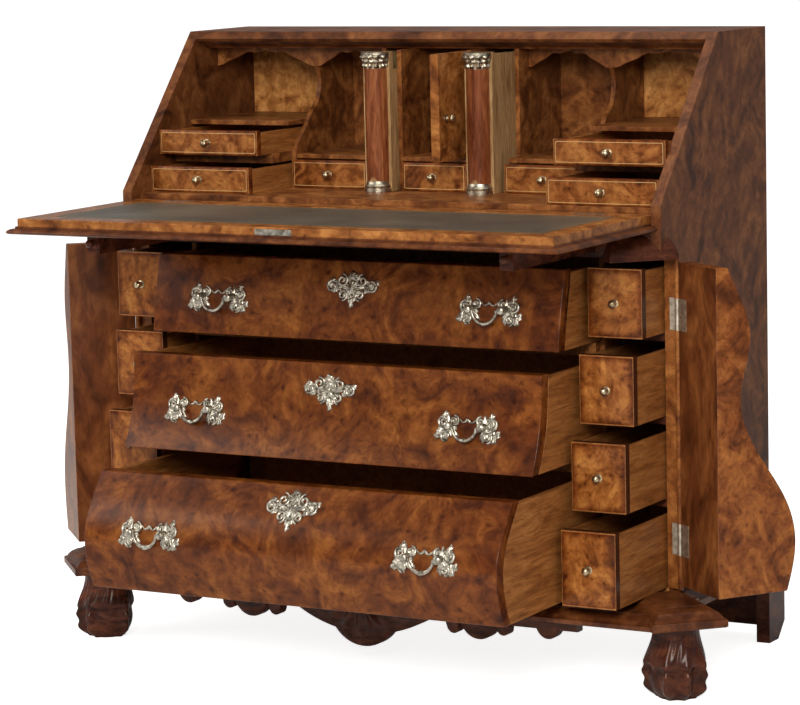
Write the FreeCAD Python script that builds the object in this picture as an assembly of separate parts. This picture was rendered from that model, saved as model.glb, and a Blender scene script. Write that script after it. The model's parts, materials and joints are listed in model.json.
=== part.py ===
"""Secretaire chest: a slant-fronted desk over three bombe drawers, with diagonal console pilasters
on the front corners that swing out and uncover two stacks of small drawers.

Millimetres. +Z is up, +X is the sitter's right, -Y is the front. While the pieces are made, y is 0 at the
foot of the slant; each piece is then moved so that the origin lies under the middle of the whole piece."""
import FreeCAD, Part
import math
import os

Vec = FreeCAD.Vector

# Case
case_width = 1030.0
case_depth = 424.0
side_thickness = 18.0
top_thickness = 18.0
back_thickness = 12.0
slant_run = 230.0
slant_rise = 265.0
frieze_height = 86.0
front_rail_thickness = 24.0
fit_gap = 0.3
slide_gap = 1.0

# Base: each lobe of the apron is its distance from the middle, its radius and its drop
foot_height = 120.0
plinth_height = 34.0
plinth_front = -122.0
plinth_overhang = 27.0
plinth_strip = 14.0
plinth_slope = 30.0
bottom_thickness = 12.0
apron_front = -92.0
apron_thickness = 22.0
apron_height = 20.0
apron_half = 400.0
apron_lobes = ((0.0, 66.0, 80.0), (0.0, 245.0, 58.0), (172.0, 12.0, 42.0), (219.0, 34.0, 48.0),
               (264.0, 12.0, 38.0), (346.0, 20.0, 36.0))
ankle_radius = 37.0
ankle_top_radius = 35.0
ankle_share = 0.45
ball_radius = 53.0
ball_height = 42.0
foot_share = 0.55
bracket_length = 66.0
bracket_thickness = 24.0
bracket_chamfer = 28.0
bracket_board = 118.0
bracket_board_gap = 20.0
cap_height = 38.0
cap_depth = 28.0
cap_back = 6.0
cap_dome = ((1.0, 0.21), (0.82, 0.63), (0.43, 1.0))

# Wide drawers, from the bottom up. The bombe front is (share of the height, depth)
wide_drawer_heights = (191.0, 156.0, 130.0)
wide_drawer_space = 28.0
wide_drawer_margin = 10.0
wide_pulls = (227.0, 177.0, 119.0)
wide_front_thickness = 24.0
wide_side_thickness = 12.0
wide_bottom_thickness = 8.0
wide_side_drop = 6.0
wide_back_room = 10.0
rail_thickness = 23.0
rail_setback = 12.0
partition_thickness = 9.0
partition_lead = 20.0
stile_front = 53.0
front_overrun = 4.0
front_curve_shares = ((0.0, -86.0), (0.11, -107.0), (0.21, -103.0), (0.329, -62.0),
                      (0.439, -24.0), (0.548, -3.0), (0.722, 6.0), (1.0, 38.0))

# Small drawers behind the pilasters, from the bottom up
small_bay_width = 100.0
small_lift = 12.0
small_rail = 24.75
small_shelf_thickness = 14.0
small_closed_front = 60.0
small_recess = 4.0
small_outer_gap = 4.0
small_fronts_right = (-137.0, -96.0, -63.0, -28.0)
small_fronts_left = (-137.0, -96.0, -66.0, -55.0)
small_back_room = 32.0
small_front_thickness = 14.0
small_wall = 8.0

# Console pilasters: the section is (share of the height, depth), read from the hinge plane outwards
hinge_out = 7.0
hinge_forward = 9.0
pilaster_angle = 46.0
pilaster_setoff = 10.0
pilaster_width = 110.0
pilaster_foot_gap = 6.0
pilaster_head_gap = 7.0
pilaster_shares = ((0.0, 128.0), (0.1415, 144.0), (0.2887, 125.0), (0.4547, 69.0),
                   (0.6019, 45.0), (0.8094, 63.0), (0.9245, 41.0), (1.0, 22.0))
open_right = 145.0
open_left = 136.0
knuckle_radius = 4.5
knuckle_length = 52.0
knuckle_shares = (0.153, 0.831)
leaf_thickness = 1.5
leaf_width = 15.0
block_depth = 144.0
block_start = -24.0
block_end = 104.0

# Flap and its supports
writing_drop = 15.0
flap_thickness = 25.0
lip_thickness = 12.0
lip_width = 14.0
rail_strip = 16.0
flap_side_gap = 1.5
leather_border = 42.0
leather_thickness = 1.5
lock_half = 34.0
lock_depth = 14.0
lock_drop = 3.0
flap_leaf_inset = 130.0
flap_leaf_length = 58.0
flap_leaf_width = 22.0
flap_leaf_thickness = 2.0
loper_inset = 112.0
loper_width = 24.0
loper_height = 36.0
loper_front = -280.0
loper_back_room = 8.0
loper_knob_reach = 12.0

# Desk interior. The sweep of the bay walls is (share of the height, distance behind the bay's foot)
floor_thickness = 18.0
base_thickness = 9.0
base_front = 26.0
thin_board = 8.0
centre_half = 62.0
column_half = 26.0
column_inset = 6.0
middle_width = 152.0
low_drawer_height = 44.0
middle_drawer_height = 48.0
upper_drawer_height = 42.0
upper_rail = 17.0
upper_shelf_setback = 81.0
lower_shelf_setback = 60.0
middle_shelf_lead = 82.0
valance_height = 34.0
valance_rise = 10.0
valance_arch = 0.62
cornice_height = 12.0
cornice_lead = 51.0
pigeonhole_setback = 60.0
column_wall_setback = 24.0
bay_foot = 205.0
bay_sweep = ((0.20, 0.0), (0.33, 13.0), (0.44, 42.0), (0.52, 58.0), (0.59, 80.0), (0.68, 92.0))
desk_wall = 6.0
desk_front_thickness = 12.0
desk_back_room = 8.0
low_closed = 80.0
low_pull_left = 18.0
low_pull_right = 47.0
upper_closed = 115.0
upper_pull_left = 22.0
upper_pull_right = 54.0
middle_lead = 26.0
middle_pull = 12.0
centre_pull = 14.0
centre_lead = 33.0
prospect_lead = 10.0
prospect_thickness = 16.0
prospect_gap = 4.0
prospect_knob_inset = 24.0
prospect_knob_drop = 18.0
slide_lead = 58.0
slide_pull = 40.0
slide_side_length = 158.0
slide_side_drop = 30.0
knob_radius = 6.0
knob_reach = 16.0

# Handles on the wide drawers, at shares of each drawer's height
handle_inset = 128.0
handle_shares = (0.545, 0.449, 0.492)
escutcheon_shares = (0.822, 0.71, 0.669)
escutcheon_radius = 24.0
rosette_radius = 19.0
rosette_spacing = 60.0
plate_thickness = 3.0
post_radius = 5.0
post_reach = 15.0
bail_radius = 2.4
bail_drop = 22.0

half_width = case_width / 2
inner_half = half_width - side_thickness
back_inside = case_depth - back_thickness
plinth_top = foot_height + plinth_height
waist_height = plinth_top + sum(wide_drawer_heights) + 2 * wide_drawer_space + wide_drawer_margin
slant_foot_height = waist_height + frieze_height
case_height = slant_foot_height + slant_rise
writing_height = slant_foot_height - writing_drop
partition_outer = inner_half - small_bay_width
partition_inner = partition_outer - partition_thickness
wide_drawer_half = partition_inner - 2 * slide_gap
first_bottom = plinth_top
second_bottom = first_bottom + wide_drawer_heights[0] + wide_drawer_space
third_bottom = second_bottom + wide_drawer_heights[1] + wide_drawer_space
wide_bottoms = (first_bottom, second_bottom, third_bottom)
wide_heights = tuple((low, low + rise) for low, rise in zip(wide_bottoms, wide_drawer_heights))
handle_x = wide_drawer_half - handle_inset
front_low = plinth_top - front_overrun
front_curve = tuple((front_low + share * (waist_height - front_low), y) for share, y in front_curve_shares)
small_pitch = (waist_height - plinth_top) / 4
small_height = small_pitch - small_rail
small_bottoms = tuple(plinth_top + small_lift + k * small_pitch for k in range(4))
small_length = back_inside - small_closed_front - small_back_room
hinge_x = half_width + hinge_out
hinge_y = stile_front - hinge_forward
pilaster_low = plinth_top + pilaster_foot_gap
pilaster_high = waist_height - pilaster_head_gap
pilaster_height = pilaster_high - pilaster_low
pilaster_curve = tuple((pilaster_low + share * pilaster_height, t) for share, t in pilaster_shares)
knuckle_heights = tuple(plinth_top + share * (waist_height - plinth_top) for share in knuckle_shares)
slant_length = math.hypot(slant_run, slant_rise)
slant_y = slant_run / slant_length
slant_z = slant_rise / slant_length
flap_inset = flap_thickness - lip_thickness
flap_hinge_y = flap_inset * slant_z - (writing_drop - flap_inset * slant_y) * slant_y / slant_z
hinge_along = flap_hinge_y * slant_y - writing_drop * slant_z
flap_length = slant_length - rail_strip - 2 * slide_gap - hinge_along
flap_front = flap_hinge_y - flap_length - lip_width
flap_underside = writing_height - flap_thickness
loper_x = inner_half - loper_inset
loper_length = back_inside - loper_back_room
loper_bottom = flap_underside - fit_gap - loper_height
base_top = writing_height + base_thickness
upright_top = case_height - top_thickness - cornice_height
upper_drawer_bottom = base_top + low_drawer_height + 3 * slide_gap + upper_rail
pigeonhole_front = slant_run + pigeonhole_setback
middle_closed = slant_run - middle_lead
centre_front = slant_run - centre_lead
prospect_plane = slant_run - prospect_lead
slide_front = slant_run - slide_lead
origin_y = (flap_front + case_depth) / 2
reach = 3 * case_depth


def save(name, solids):
    """Move the piece to the shared origin and write it as one file, a group of solids if it has several."""
    shape = solids if isinstance(solids, Part.Shape) else Part.makeCompound(solids)
    shape = shape.copy()
    shape.translate(Vec(0, -origin_y, 0))
    shape.exportStep(f"parts/{name}.step")


def box(x0, x1, y0, y1, z0, z1):
    return Part.makeBox(x1 - x0, y1 - y0, z1 - z0, Vec(x0, y0, z0))


def rod(start, direction, radius, length):
    return Part.makeCylinder(radius, length, start, direction)


def flat(points):
    return Part.Face(Part.makePolygon(points + [points[0]]))


def prism_x(outline, x0, x1):
    """Carry a (y, z) outline from x0 to x1."""
    return flat([Vec(x0, y, z) for y, z in outline]).extrude(Vec(x1 - x0, 0, 0))


def prism_z(outline, z0, z1):
    """Carry an (x, y) outline from z0 to z1."""
    return flat([Vec(x, y, z0) for x, y in outline]).extrude(Vec(0, 0, z1 - z0))


def mirrored(shape):
    return shape.mirror(Vec(0, 0, 0), Vec(1, 0, 0))


def both_sides(solids):
    return solids + [mirrored(solid) for solid in solids]


def smooth(points):
    curve = Part.BSplineCurve()
    curve.interpolate(points)
    return curve.toShape()


def chain(points):
    """Straight edges through the points, one after the other."""
    return [Part.makeLine(a, b) for a, b in zip(points[:-1], points[1:])]


def front_band(offset, thickness, pull):
    """A slice of the bombe front, as wide as a drawer, that starts offset behind the curve."""
    near = [Vec(-wide_drawer_half, y + offset - pull, z) for z, y in front_curve]
    far = [Vec(-wide_drawer_half, y + offset + thickness - pull, z) for z, y in front_curve]
    edges = [smooth(near), Part.makeLine(near[-1], far[-1]), smooth(far[::-1]),
             Part.makeLine(far[0], near[0])]
    return Part.Face(Part.Wire(edges)).extrude(Vec(2 * wide_drawer_half, 0, 0))


def front_y(z):
    """Depth of the bombe front at height z, measured on the curve itself."""
    line = smooth([Vec(0, y, height) for height, y in front_curve])
    cut = Part.makeLine(Vec(0, -reach, z), Vec(0, reach, z))
    return line.distToShape(cut)[1][0][0].y


def make_case():
    """Sides, top, back, floors, rails and partitions: the fixed boards of the carcass."""
    side = prism_x([(0, waist_height), (0, slant_foot_height), (slant_run, case_height),
                    (case_depth, case_height), (case_depth, plinth_top), (stile_front, plinth_top),
                    (stile_front, waist_height)], inner_half, half_width)
    save("side_panel_right", side)
    save("side_panel_left", mirrored(side))
    strip_y = slant_run - rail_strip * slant_y
    strip_z = case_height - rail_strip * slant_z
    ceiling = case_height - top_thickness
    top = prism_x([(strip_y, strip_z), (slant_run, case_height), (back_inside, case_height),
                   (back_inside, ceiling), (strip_y + strip_z - ceiling, ceiling)], -inner_half, inner_half)
    save("top_board", top)
    save("back_panel", box(-inner_half, inner_half, back_inside, case_depth, plinth_top, case_height))
    save("desk_floor", box(-inner_half, inner_half, flap_hinge_y + slide_gap, back_inside,
                           writing_height - floor_thickness, writing_height))
    bottom_top = plinth_top - fit_gap
    boards = [box(-inner_half, inner_half, stile_front, back_inside,
                  bottom_top - bottom_thickness, bottom_top)]
    for (_, below), (above, _) in zip(wide_heights[:-1], wide_heights[1:]):
        front = front_y((below + above) / 2) + rail_setback
        boards.append(box(-partition_inner, partition_inner, front, back_inside,
                          above - fit_gap - rail_thickness, above - fit_gap))
    save("drawer_rails", boards)
    rail_top = flap_underside - slide_gap
    rail = box(-inner_half, inner_half, 0, front_rail_thickness, waist_height, rail_top)
    slot_half = loper_width / 2 + slide_gap
    slot = box(loper_x - slot_half, loper_x + slot_half, 0, front_rail_thickness,
               loper_bottom - fit_gap, rail_top)
    save("front_rail", rail.cut(slot).cut(mirrored(slot)))
    post = box(partition_inner, partition_outer, stile_front - partition_lead, back_inside,
               plinth_top, waist_height)
    save("inner_partitions", both_sides([post]))
    shelves = []
    for bottom in small_bottoms[1:]:
        shelf_top = bottom - slide_gap
        shelves.append(box(partition_outer, inner_half, small_closed_front - small_recess, back_inside,
                           shelf_top - small_shelf_thickness, shelf_top))
    save("small_drawer_shelves", both_sides(shelves))


def diagonal(u, t):
    """A point of the right corner block: u along the closed pilaster from its hinge, t outwards from it."""
    a = math.radians(pilaster_angle)
    return (hinge_x - u * math.cos(a) + t * math.sin(a), hinge_y - u * math.sin(a) - t * math.cos(a))


def along_pilaster(edges):
    """Carry a closed section that stands on the diagonal through the pilaster's width."""
    first = diagonal(pilaster_setoff, 0)
    last = diagonal(pilaster_setoff + pilaster_width, 0)
    return Part.Face(Part.Wire(edges)).extrude(Vec(last[0] - first[0], last[1] - first[1], 0))


def block_outline(inset):
    """The right corner block in plan, drawn in by inset at its outer face and its two ends."""
    start = block_start + inset
    end = block_end - inset
    depth = block_depth - inset
    return [diagonal(start, 0), diagonal(start, depth), diagonal(end, depth), diagonal(end, 0)]


def make_base():
    """Plinth with its sloped corner blocks, and the scalloped apron under it."""
    strip_top = foot_height + plinth_strip
    strip = prism_z(block_outline(0), foot_height, strip_top)
    rings = []
    for inset, z in ((0, strip_top), (plinth_slope, plinth_top)):
        points = [Vec(x, y, z) for x, y in block_outline(inset)]
        rings.append(Part.makePolygon(points + [points[0]]))
    corner = strip.fuse(Part.makeLoft(rings, True, True)).removeSplitter()
    footprint = prism_z(block_outline(0), foot_height, plinth_top)
    front_bar = box(-hinge_x, hinge_x, plinth_front, stile_front, foot_height,
                    plinth_top - fit_gap - bottom_thickness)
    front_bar = front_bar.cut(footprint).cut(mirrored(footprint))
    outer = half_width + plinth_overhang
    side_bar = box(inner_half, outer, stile_front, case_depth, foot_height, plinth_top).cut(footprint)
    save("plinth", [front_bar] + both_sides([corner, side_bar]))
    apron_back = apron_front + apron_thickness
    apron = box(-apron_half, apron_half, apron_front, apron_back, foot_height - apron_height, foot_height)
    under = box(-half_width, half_width, apron_front, apron_back, 0, foot_height)
    for x, radius, drop in apron_lobes:
        lobe = rod(Vec(x, apron_front, foot_height - drop + radius), Vec(0, 1, 0), radius, apron_thickness)
        apron = apron.fuse(lobe).fuse(mirrored(lobe))
    save("apron", apron.common(under).removeSplitter())


def make_rear_feet():
    """Bracket feet at the back: a chamfered side piece and a board along the back, above the floor."""
    outer = half_width + plinth_overhang
    inner = outer - bracket_thickness
    front = case_depth - bracket_length
    side = prism_x([(front, foot_height), (front, 0), (case_depth - bracket_chamfer, 0),
                    (case_depth, bracket_chamfer), (case_depth, foot_height)], inner, outer)
    board = box(inner - bracket_board, inner, case_depth - bracket_thickness, case_depth,
                bracket_board_gap, foot_height)
    save("rear_bracket_feet", both_sides([side, board]))


def make_front_feet():
    """Ball feet under the corner blocks, each with a short ankle, without their carving."""
    x, y = diagonal((block_start + block_end) / 2, block_depth * foot_share)
    ankle_height = foot_height * ankle_share
    ankle = Part.makeCone(ankle_radius, ankle_top_radius, ankle_height, Vec(x, y, foot_height - ankle_height))
    ball = Part.makeSphere(ball_radius, Vec(x, y, ball_height))
    above_floor = box(x - ball_radius, x + ball_radius, y - ball_radius, y + ball_radius, 0, foot_height)
    foot = ankle.fuse(ball.common(above_floor)).removeSplitter()
    save("front_foot_right", foot)
    save("front_foot_left", mirrored(foot))


def make_corner_caps():
    """The domed blocks that close the tops of the diagonal corners, under the desk."""
    def at(t, rise):
        return Vec(*diagonal(pilaster_setoff, t), waist_height + rise)

    heel = at(-cap_back, 0)
    toe = at(cap_depth, 0)
    top_heel = at(-cap_back, cap_height)
    step, shoulder, crown = [at(cap_depth * t, cap_height * rise) for t, rise in cap_dome]
    edges = chain([heel, toe, step]) + chain([crown, top_heel, heel])
    edges.insert(2, Part.Arc(step, shoulder, crown).toShape())
    case_corner = box(-half_width, half_width, 0, case_depth, waist_height, case_height)
    save("corner_caps", both_sides([along_pilaster(edges).cut(case_corner)]))


def opened(shape, degrees):
    """Swing a closed right pilaster piece out to its place."""
    turned = shape.copy()
    turned.rotate(Vec(hinge_x, hinge_y, 0), Vec(0, 0, 1), degrees - pilaster_angle)
    return turned


def make_pilasters():
    """The console pilasters and the fixed halves of their butt hinges."""
    face = [Vec(*diagonal(pilaster_setoff, t), z) for z, t in pilaster_curve]
    inner_low = Vec(*diagonal(pilaster_setoff, 0), pilaster_low)
    inner_high = Vec(*diagonal(pilaster_setoff, 0), pilaster_high)
    block = along_pilaster([smooth(face)] + chain([face[-1], inner_high, inner_low, face[0]]))
    moving = [block]
    fixed = []
    near = knuckle_radius + fit_gap
    leaf_end = pilaster_setoff + leaf_width
    for height in knuckle_heights:
        z0 = height - knuckle_length / 2
        z1 = height + knuckle_length / 2
        moving.append(prism_z([diagonal(near, 0), diagonal(leaf_end, 0), diagonal(leaf_end, -leaf_thickness),
                               diagonal(near, -leaf_thickness)], z0, z1))
        knuckle = rod(Vec(hinge_x, hinge_y, z0), Vec(0, 0, 1), knuckle_radius, knuckle_length)
        plate = box(half_width - leaf_width, hinge_x, stile_front - leaf_thickness, stile_front, z0, z1)
        web = box(hinge_x - leaf_thickness, hinge_x, hinge_y, stile_front, z0, z1)
        fixed.append(plate.fuse(web).fuse(knuckle).removeSplitter())
    save("pilaster_right", [opened(solid, open_right) for solid in moving])
    save("pilaster_left", [mirrored(opened(solid, open_left)) for solid in moving])
    save("pilaster_hinges", both_sides(fixed))


def make_flap():
    """The open flap with its leather, lock and hinge leaves, and the lopers that carry it."""
    main_half = inner_half - flap_side_gap
    lip_half = main_half + lip_width
    edge = flap_hinge_y - flap_length
    lip_top = flap_underside + lip_thickness
    panel = box(-main_half, main_half, edge, flap_hinge_y, flap_underside, writing_height)
    lip = box(-lip_half, lip_half, flap_front, -slide_gap, flap_underside, lip_top)
    leather_half = main_half - leather_border
    leather = box(-leather_half, leather_half, edge + leather_border, flap_hinge_y - leather_border,
                  writing_height - leather_thickness, writing_height)
    lock = box(-lock_half, lock_half, edge, edge + lock_depth, lip_top, writing_height - lock_drop)
    leaf_start = main_half - flap_leaf_inset
    leaf = box(leaf_start, leaf_start + flap_leaf_length, flap_hinge_y - flap_leaf_width, flap_hinge_y,
               writing_height - flap_leaf_thickness, writing_height)
    panel = panel.fuse(lip).cut(leather).cut(lock).cut(leaf).cut(mirrored(leaf))
    save("flap_panel", panel.removeSplitter())
    save("writing_leather", leather)
    save("flap_lock_and_leaves", [lock] + both_sides([leaf]))
    bar = box(loper_x - loper_width / 2, loper_x + loper_width / 2, loper_front, loper_front + loper_length,
              loper_bottom, loper_bottom + loper_height)
    knob = rod(Vec(loper_x, loper_front, loper_bottom + loper_height / 2), Vec(0, -1, 0),
               knob_radius, loper_knob_reach)
    loper = bar.fuse(knob).removeSplitter()
    save("loper_right", loper)
    save("loper_left", mirrored(loper))


def turned_knob(x, y, z):
    """A small turned knob standing out of a drawer front: a neck and a round head."""
    neck = rod(Vec(x, y, z), Vec(0, -1, 0), knob_radius / 2, knob_reach - knob_radius)
    head = Part.makeSphere(knob_radius, Vec(x, y - knob_reach + knob_radius, z))
    return neck.fuse(head).removeSplitter()


def small_box(x0, x1, front, z0, z1, length, wall, front_thickness):
    """Front board, two sides, a back and a bottom of a small drawer, as separate boards."""
    y1 = front + length
    inside = front + front_thickness
    side_top = z1 - wall / 2
    return [box(x0, x1, front, inside, z0, z1),
            box(x0, x0 + wall, inside, y1, z0, side_top),
            box(x1 - wall, x1, inside, y1, z0, side_top),
            box(x0 + wall, x1 - wall, y1 - wall, y1, z0, side_top),
            box(x0 + wall, x1 - wall, inside, y1 - wall, z0, z0 + wall / 2)]


def make_wide_drawers():
    """Three bombe drawers, each with its box, plates, escutcheon and swinging bails."""
    inside_half = wide_drawer_half - wide_side_thickness
    for k in range(3):
        z0, z1 = wide_heights[k]
        pull = wide_pulls[k]
        number = 3 - k
        window = box(-half_width, half_width, -reach, reach, z0, z1)
        front = front_band(0, wide_front_thickness, pull).common(window)
        save(f"wide_drawer_{number}_front", front.Solids[0])
        y1 = back_inside - wide_back_room - pull
        low = z0 + fit_gap
        high = z1 - wide_side_drop
        body = front_band(wide_front_thickness, case_depth, pull).common(
            box(-half_width, half_width, -reach, y1, low, high))
        side = body.common(box(inside_half, half_width, -reach, reach, low, high)).Solids[0]
        bottom = body.common(box(-inside_half, inside_half, -reach, y1 - wide_side_thickness,
                                 low, z0 + wide_bottom_thickness)).Solids[0]
        back = box(-inside_half, inside_half, y1 - wide_side_thickness, y1, low, high)
        save(f"wide_drawer_{number}_box", [side, mirrored(side), bottom, back])
        make_handles(number, k, pull)


def make_handles(number, k, pull):
    """Round rosettes with posts, an escutcheon, and the two bails of one drawer."""
    z0, z1 = wide_heights[k]
    z = z0 + handle_shares[k] * (z1 - z0)
    band = front_band(-plate_thickness - fit_gap, plate_thickness, pull)
    behind = front_band(-fit_gap, case_depth, pull)
    pivot_y = front_y(z) - pull - fit_gap - post_reach
    bail_half = rosette_spacing / 2 - post_radius - bail_radius - 2 * fit_gap
    plates = []
    for side, sign in (("right", 1), ("left", -1)):
        centre = sign * handle_x
        for x in (centre - rosette_spacing / 2, centre + rosette_spacing / 2):
            disc = rod(Vec(x, -reach, z), Vec(0, 1, 0), rosette_radius, 2 * reach).common(band)
            post = rod(Vec(x, pivot_y - post_radius, z), Vec(0, 1, 0), post_radius,
                       post_reach + 2 * post_radius)
            plates.append(disc.fuse(post.cut(behind)).removeSplitter())
        start = Vec(centre - bail_half, pivot_y, z)
        path = Part.Wire([Part.Arc(start, Vec(centre, pivot_y, z - bail_drop),
                                   Vec(centre + bail_half, pivot_y, z)).toShape()])
        tangent = path.Edges[0].tangentAt(path.Edges[0].FirstParameter)
        ring = Part.Wire([Part.makeCircle(bail_radius, start, tangent)])
        save(f"wide_drawer_{number}_bail_{side}", path.makePipeShell([ring], True, True))
    middle = z0 + escutcheon_shares[k] * (z1 - z0)
    plates.append(rod(Vec(0, -reach, middle), Vec(0, 1, 0), escutcheon_radius, 2 * reach).common(band))
    save(f"wide_drawer_{number}_plates", plates)


def make_small_drawers():
    """Four square drawers behind each pilaster, pulled out by different amounts."""
    x0 = partition_outer + slide_gap
    x1 = inner_half - small_outer_gap
    for k in range(4):
        z0 = small_bottoms[k] - slide_gap + fit_gap if k else plinth_top
        z1 = small_bottoms[k] + small_height
        for name, fronts in (("right", small_fronts_right), ("left", small_fronts_left)):
            solids = small_box(x0, x1, fronts[k], z0, z1, small_length, small_wall, small_front_thickness)
            solids.append(turned_knob((x0 + x1) / 2, fronts[k], (z0 + z1) / 2))
            if name == "left":
                solids = [mirrored(solid) for solid in solids]
            save(f"corner_drawer_{name}_{4 - k}", solids)


column_x = centre_half + 2 * slide_gap + thin_board
column_end = column_x + 2 * column_half + 2 * slide_gap
middle_x = column_end + thin_board
bay_x = middle_x + middle_width
bay_in = bay_x + thin_board
middle_top = base_top + middle_drawer_height + 2 * slide_gap


def make_desk_walls():
    """Partitions, shelves, valances and cornice of the desk interior."""
    centre_wall = box(centre_half + 2 * slide_gap, column_x, centre_front, back_inside, base_top, upright_top)
    column_wall = box(column_end, middle_x, slant_run + column_wall_setback, back_inside,
                      base_top, upright_top)
    room = upright_top - base_top
    sweep = [Vec(bay_x, bay_foot + y, base_top + share * room) for share, y in bay_sweep]
    sweep.append(Vec(bay_x, pigeonhole_front, upright_top - valance_height))
    corners = [sweep[-1], Vec(bay_x, pigeonhole_front, upright_top), Vec(bay_x, back_inside, upright_top),
               Vec(bay_x, back_inside, base_top), Vec(bay_x, bay_foot, base_top), sweep[0]]
    bay_wall = Part.Face(Part.Wire([smooth(sweep)] + chain(corners))).extrude(Vec(thin_board, 0, 0))
    save("desk_partitions", both_sides([centre_wall, column_wall, bay_wall]))
    low_top = base_top + low_drawer_height + 2 * slide_gap
    upper_top = upper_drawer_bottom + upper_drawer_height + 2 * slide_gap
    base = box(-inner_half, inner_half, base_front, back_inside, writing_height, base_top)
    centre_in = centre_half + 2 * slide_gap
    centre_shelf = box(-centre_in, centre_in, centre_front, back_inside, middle_top, middle_top + thin_board)
    shelves = [box(bay_in, inner_half, low_closed + lower_shelf_setback, back_inside,
                   low_top, low_top + upper_rail),
               box(bay_in, inner_half, upper_closed + upper_shelf_setback, back_inside,
                   upper_top, upper_top + thin_board),
               box(middle_x, bay_x, pigeonhole_front - middle_shelf_lead, back_inside,
                   middle_top, middle_top + thin_board)]
    save("desk_shelves", [base, centre_shelf] + both_sides(shelves))
    cornice_y = pigeonhole_front - cornice_lead
    solids = [box(-inner_half, inner_half, cornice_y, pigeonhole_front,
                  upright_top, upright_top + cornice_height)]
    for x0, x1 in ((middle_x, bay_x), (bay_in, inner_half)):
        board = box(x0, x1, pigeonhole_front, pigeonhole_front + thin_board,
                    upright_top - valance_height, upright_top)
        radius = (x1 - x0) * valance_arch
        arch = rod(Vec((x0 + x1) / 2, pigeonhole_front, upright_top - valance_rise - radius), Vec(0, 1, 0),
                   radius, thin_board)
        solids += both_sides(board.cut(arch).Solids)
    save("valances_and_cornice", solids)


def make_desk_drawers():
    """The drawers of the desk interior, each with a turned knob, standing out by its own pull."""
    upper_z = upper_drawer_bottom - slide_gap
    drawers = (("left_lower", bay_in, inner_half, low_closed, low_pull_left, base_top, low_drawer_height),
               ("right_lower", bay_in, inner_half, low_closed, low_pull_right, base_top, low_drawer_height),
               ("left_upper", bay_in, inner_half, upper_closed, upper_pull_left, upper_z,
                upper_drawer_height),
               ("right_upper", bay_in, inner_half, upper_closed, upper_pull_right, upper_z,
                upper_drawer_height),
               ("left_middle", middle_x, bay_x, middle_closed, middle_pull, base_top, middle_drawer_height),
               ("right_middle", middle_x, bay_x, middle_closed, middle_pull, base_top, middle_drawer_height),
               ("centre", -centre_half - slide_gap, centre_half + slide_gap, middle_closed, centre_pull,
                base_top, middle_drawer_height))
    for name, x0, x1, closed, pull, z, height in drawers:
        front = closed - pull
        low = z + fit_gap
        solids = small_box(x0 + slide_gap, x1 - slide_gap, front, low, low + height,
                           back_inside - closed - desk_back_room, desk_wall, desk_front_thickness)
        solids.append(turned_knob((x0 + x1) / 2, front, low + height / 2))
        if name.startswith("left"):
            solids = [mirrored(solid) for solid in solids]
        save(f"desk_drawer_{name}", solids)


def make_document_slides():
    """The two secret slides beside the middle door, each behind a half column and open on its inner side."""
    x0 = column_x + slide_gap
    x1 = x0 + 2 * column_half
    low = base_top + fit_gap
    high = upright_top - 2 * slide_gap
    slide = small_box(x0, x1, slide_front, low, high, back_inside - slide_front - slide_pull - desk_back_room,
                      desk_wall, desk_front_thickness)
    inside = slide_front + desk_front_thickness
    slide[1] = box(x0, x0 + desk_wall, inside, inside + slide_side_length, low, high - slide_side_drop)
    column = rod(Vec((x0 + x1) / 2, slide_front, low), Vec(0, 0, 1), column_half - column_inset, high - low)
    slide.append(column.common(box(x0, x1, slide_front - column_half, slide_front, low, high)))
    save("document_slide_right", slide)
    save("document_slide_left", [mirrored(solid) for solid in slide])


def make_prospect_door():
    """The small door in the middle, standing open on its right edge, with its knob."""
    low = middle_top + thin_board + fit_gap
    high = upright_top - 2 * slide_gap
    free_end = prospect_plane - 2 * centre_half + prospect_gap
    door = box(centre_half - prospect_thickness, centre_half, free_end, prospect_plane - slide_gap, low, high)
    knob = turned_knob(0, 0, 0)
    knob.rotate(Vec(0, 0, 0), Vec(0, 0, 1), 90)
    knob.translate(Vec(centre_half, free_end + prospect_knob_inset, (low + high) / 2 - prospect_knob_drop))
    save("prospect_door", [door, knob])


os.makedirs("parts", exist_ok=True)
make_case()
make_base()
make_rear_feet()
make_front_feet()
make_corner_caps()
make_pilasters()
make_flap()
make_wide_drawers()
make_small_drawers()
make_desk_walls()
make_desk_drawers()
make_document_slides()
make_prospect_door()
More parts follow.
